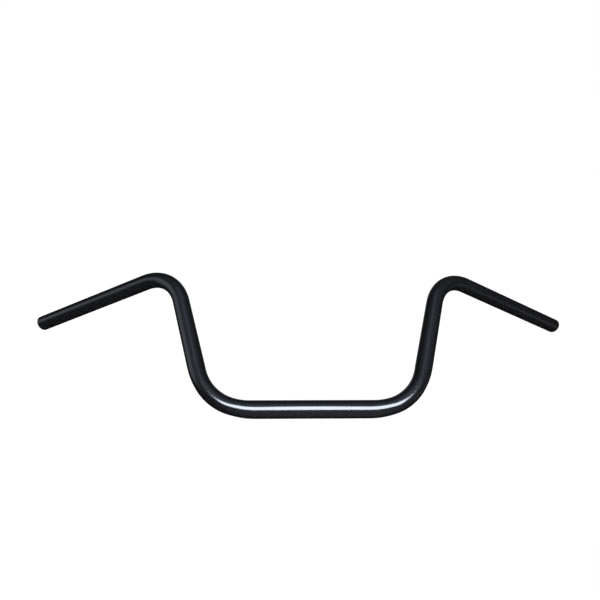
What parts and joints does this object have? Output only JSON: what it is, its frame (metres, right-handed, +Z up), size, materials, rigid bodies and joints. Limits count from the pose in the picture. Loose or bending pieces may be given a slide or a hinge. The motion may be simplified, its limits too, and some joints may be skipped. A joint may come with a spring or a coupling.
{
  "type": "ape hanger handlebar",
  "caption": "Ape hanger motorbike handlebar bent from round steel tube, with a straight clamped centre, raised sides and swept-back grip ends.",
  "frame": {"origin": "middle of the straight between the lower bends, on the tube's centre line, where the bar is clamped", "axes": "+X along the clamped straight, +Y back towards the rider, +Z up. The risers lean back 30 degrees from upright, as they do when they follow the fork. The rider's right hand is on the -X side"},
  "size_m": [0.826, 0.1988, 0.1784],
  "materials": {
    "black_finish": "smooth glossy black"
  },
  "bodies": {
    "root": {"handlebar": "black_finish"}
  },
  "joints": []
}
